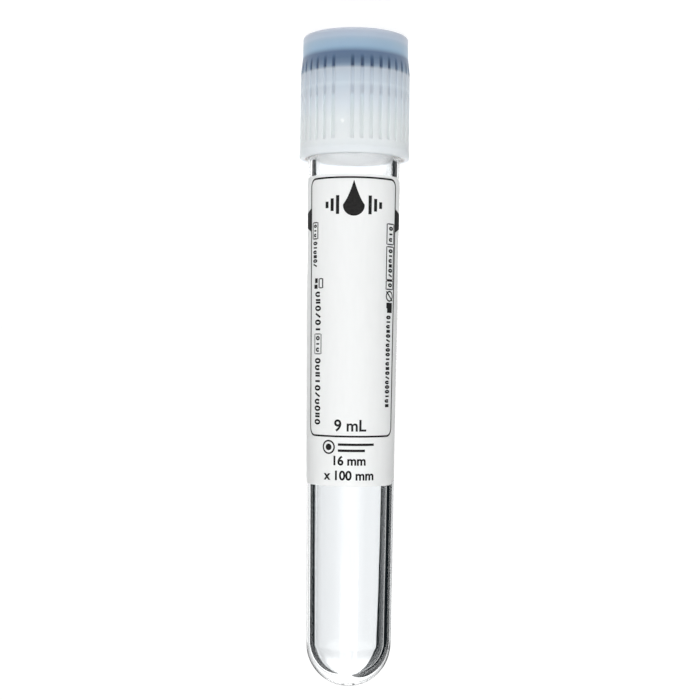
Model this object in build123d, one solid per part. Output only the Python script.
"""Blood collection tube, 16 x 100 mm, in millimetres.

Four pieces: a clear round-bottomed tube, a ribbed safety cap, the rubber stopper
that the cap carries, and a label stuck round the tube.

Each piece is drawn with the tip of the round end at the origin, the axis up Z and
the print facing -Y.  The last step turns them over together to stand on the cap's
flat rim, because the round end can't stand and a tube on its side rolls.
"""
from build123d import *
from math import asin, degrees, radians, sin, sqrt
import os

# ---- sizes: tube --------------------------------------------------------------
tube_length = 100.0          # tip of the round end to the open rim
rim_radius = 8.0             # outside, at the open rim
tube_taper = 0.8             # how much smaller the radius is where the round end begins
tube_wall = 1.3
end_wall = 1.6               # thickness at the tip
rim_round = 0.3
gate_ring_radius = 0.95      # moulded ring at the tip
gate_ring_depth = 0.18

# ---- sizes: stopper -----------------------------------------------------------
plug_length = 8.5
plug_lead = 0.8              # chamfer at the lower end of the plug
lower_flange_length = 1.2
waist_length = 2.4           # the cap's ledge sits round the waist
upper_flange_length = 2.8
flange_inset = 0.1           # both flanges stop this far inside the tube's rim
waist_depth = 1.3
target_radius = 3.6          # dished needle target in the top
target_depth = 1.5
hollow_radius = 3.4          # blind hollow in the bottom of the plug
hollow_depth = 5.0
stopper_round = 0.35

# ---- sizes: cap ---------------------------------------------------------------
cap_overlap = 10.5           # how far the skirt reaches down over the tube
well_depth = 3.73            # open well above the stopper
collar_wall = 1.0            # plain collar round the stopper and the well
collar_length = 3.3
shoulder_length = 2.9        # slope from the collar out to the skirt
bead_wall = 1.03             # band round the lower rim
bead_length = 1.2
bead_step = 0.06             # the skirt is this much slimmer than the bead
skirt_taper = 0.04           # and this much slimmer again under the shoulder
bead_round = 0.25
cap_top_round = 0.55
well_mouth_round = 0.3
lip_width = 0.35             # inward lip that keeps the upper flange in
groove_places = 36           # even places round the skirt; one is left blank
groove_width = 0.55
groove_depth = 0.18
groove_end_gap = 2.4         # plain band below the grooves
blank_place = -13.0          # degrees from the front to the blank place
pip_radius = 0.35            # small moulded pip in the blank place
pip_height = 0.15
pip_rise = 5.2               # its height above the lower rim

# ---- sizes: label -------------------------------------------------------------
label_length = 51.7
label_gap = 3.3              # bare tube between the label and the cap
label_half_wrap = 80.0       # degrees either side of its middle
label_turn = -4.0            # degrees from the front to its middle
label_thickness = 0.09
label_corner = 2.0

# ---- clearances ---------------------------------------------------------------
plug_clearance = 0.03        # plug to bore
seat_gap = 0.02              # lower flange to the tube's rim
stopper_clearance = 0.05     # stopper to cap, all round
skirt_clearance = 0.35       # inside of the skirt to the tube's rim
glue_gap = 0.01              # label to tube

# ---- sizes that follow --------------------------------------------------------
end_radius = rim_radius - tube_taper
bore_end_radius = end_radius - tube_wall
bore_end_z = end_wall + bore_end_radius

plug_bottom = tube_length - plug_length
seat_z = tube_length + seat_gap
ledge_bottom = seat_z + lower_flange_length
ledge_top = ledge_bottom + waist_length
flange_top = ledge_top + upper_flange_length
flange_radius = rim_radius - flange_inset
waist_radius = flange_radius - waist_depth

pocket_top = flange_top + stopper_clearance
pocket_radius = flange_radius + stopper_clearance
well_radius = pocket_radius - lip_width
collar_radius = pocket_radius + collar_wall
cap_top = pocket_top + well_depth
shoulder_top = cap_top - collar_length
shoulder_bottom = shoulder_top - shoulder_length
skirt_bottom = tube_length - cap_overlap
skirt_bore_radius = rim_radius + skirt_clearance
bead_radius = skirt_bore_radius + bead_wall
skirt_low_radius = bead_radius - bead_step
skirt_top_radius = skirt_low_radius - skirt_taper
groove_floor_radius = skirt_top_radius - groove_depth

label_high_edge = skirt_bottom - label_gap
label_low_edge = label_high_edge - label_length


def outside_radius(z):
    """Outside of the tube's tapered wall at height z."""
    rise = (rim_radius - end_radius) / (tube_length - end_radius)
    return end_radius + rise * (z - end_radius)


def bore_radius(z):
    """Inside of the tube's tapered wall at height z."""
    rise = (rim_radius - tube_wall - bore_end_radius) / (tube_length - bore_end_z)
    return bore_end_radius + rise * (z - bore_end_z)


def turned(*edges):
    """Solid turned about Z from a closed half profile of (radius, height) edges."""
    return revolve(Plane.XZ * make_face(Curve() + list(edges)), Axis.Z)


def round_end(radius, tip_z):
    """Quarter circle from the axis out to the tapered wall."""
    half = radius * sin(radians(45))
    return ThreePointArc((0, tip_z), (half, tip_z + radius - half), (radius, tip_z + radius))


def rings_at(solid, radius, z):
    """The circular edges of a turned solid with this radius, at this height."""
    return [e for e in solid.edges().filter_by(GeomType.CIRCLE)
            if abs(e.radius - radius) < 1e-3 and abs(e.center().Z - z) < 1e-3]


# ---- tube ---------------------------------------------------------------------
body = turned(round_end(end_radius, 0),
              Polyline((end_radius, end_radius), (rim_radius, tube_length),
                       (0, tube_length), (0, 0)))
bore = turned(round_end(bore_end_radius, end_wall),
              Polyline((bore_end_radius, bore_end_z), (bore_radius(tube_length), tube_length),
                       (0, tube_length), (0, end_wall)))
tube = body - bore
tube = fillet(rings_at(tube, rim_radius, tube_length)
              + rings_at(tube, bore_radius(tube_length), tube_length), rim_round)
ring_height = end_radius - sqrt(end_radius ** 2 - gate_ring_radius ** 2)
tube -= Pos(0, 0, ring_height) * Torus(gate_ring_radius, gate_ring_depth)

# ---- cap ----------------------------------------------------------------------
bead_top = skirt_bottom + bead_length
cap = turned(Polyline(
    (skirt_bore_radius, skirt_bottom), (bead_radius, skirt_bottom),
    (bead_radius, bead_top), (skirt_low_radius, bead_top + bead_step),
    (skirt_top_radius, shoulder_bottom), (collar_radius, shoulder_top),
    (collar_radius, cap_top), (well_radius, cap_top),
    (well_radius, pocket_top), (pocket_radius, pocket_top),
    (pocket_radius, ledge_top), (waist_radius + stopper_clearance, ledge_top),
    (waist_radius + stopper_clearance, ledge_bottom), (skirt_bore_radius, ledge_bottom),
    (skirt_bore_radius, skirt_bottom)))
cap = fillet(rings_at(cap, collar_radius, cap_top), cap_top_round)
cap = fillet(rings_at(cap, well_radius, cap_top), well_mouth_round)
cap = fillet(rings_at(cap, bead_radius, skirt_bottom)
             + rings_at(cap, skirt_bore_radius, skirt_bottom), bead_round)

groove_low = skirt_bottom + groove_end_gap
groove_height = shoulder_top - groove_low
groove_reach = 1.0
groove = Box(groove_reach, groove_width, groove_height)
groove = fillet(groove.edges().filter_by(Axis.Y).group_by(Axis.X)[0].group_by(Axis.Z)[0],
                groove_depth)
groove = Pos(groove_floor_radius + groove_reach / 2, 0, groove_low + groove_height / 2) * groove
pitch = 360 / groove_places
cap -= [Rot(0, 0, blank_place - 90 + place * pitch) * groove
        for place in range(1, groove_places)]
pip_sphere = (pip_radius ** 2 + pip_height ** 2) / (2 * pip_height)
pip = Pos(skirt_low_radius + pip_height - pip_sphere, 0, skirt_bottom + pip_rise) * Sphere(pip_sphere)
cap += Rot(0, 0, blank_place - 90) * pip

# ---- rubber stopper -----------------------------------------------------------
plug_top_radius = bore_radius(tube_length) - plug_clearance
plug_end_radius = bore_radius(plug_bottom) - plug_clearance
stopper = turned(Polyline(
    (0, flange_top - target_depth), (target_radius, flange_top - target_depth),
    (target_radius, flange_top), (flange_radius, flange_top),
    (flange_radius, ledge_top), (waist_radius, ledge_top),
    (waist_radius, ledge_bottom), (flange_radius, ledge_bottom),
    (flange_radius, seat_z), (plug_top_radius, seat_z),
    (plug_end_radius, plug_bottom), (hollow_radius, plug_bottom),
    (hollow_radius, plug_bottom + hollow_depth), (0, plug_bottom + hollow_depth),
    (0, flange_top - target_depth)))
stopper = chamfer(rings_at(stopper, plug_end_radius, plug_bottom), plug_lead)
stopper = fillet(rings_at(stopper, target_radius, flange_top)
                 + rings_at(stopper, flange_radius, flange_top)
                 + rings_at(stopper, hollow_radius, plug_bottom)
                 + rings_at(stopper, target_radius, flange_top - target_depth)
                 + rings_at(stopper, hollow_radius, plug_bottom + hollow_depth), stopper_round)

# ---- label --------------------------------------------------------------------
inside = [(outside_radius(z) + glue_gap, z) for z in (label_low_edge, label_high_edge)]
outside = [(radius + label_thickness, z) for radius, z in inside]
strip = make_face(Polyline(inside[0], inside[1], outside[1], outside[0], inside[0]))
label = revolve(Plane.XZ * strip, Axis.Z, revolution_arc=2 * label_half_wrap)
label_middle = label_turn - 90
label = Rot(0, 0, label_middle - label_half_wrap) * label
for side in (-1, 1):
    for edge, up in ((label_low_edge, -1), (label_high_edge, 1)):
        height = edge - up * label_corner
        reach = outside_radius(height)
        turn = label_half_wrap - degrees(asin(label_corner / reach))
        block = 1.5 * label_corner
        spandrel = Pos(side * block / 2, up * block / 2) * Rectangle(block, block)
        spandrel -= Circle(label_corner)
        facing = Plane(origin=(reach, 0, height), x_dir=(0, 1, 0), z_dir=(1, 0, 0))
        cutter = extrude(facing * spandrel, amount=label_corner, both=True)
        label -= Rot(0, 0, label_middle + side * turn) * cutter

# ---- stand it on its cap ------------------------------------------------------
stand_on_cap = Pos(0, 0, cap_top) * Rot(0, 180, 0)

os.makedirs("parts", exist_ok=True)
for name, piece in {"tube": tube, "cap": cap, "rubber_stopper": stopper, "label": label}.items():
    export_step(stand_on_cap * piece, f"parts/{name}.step")
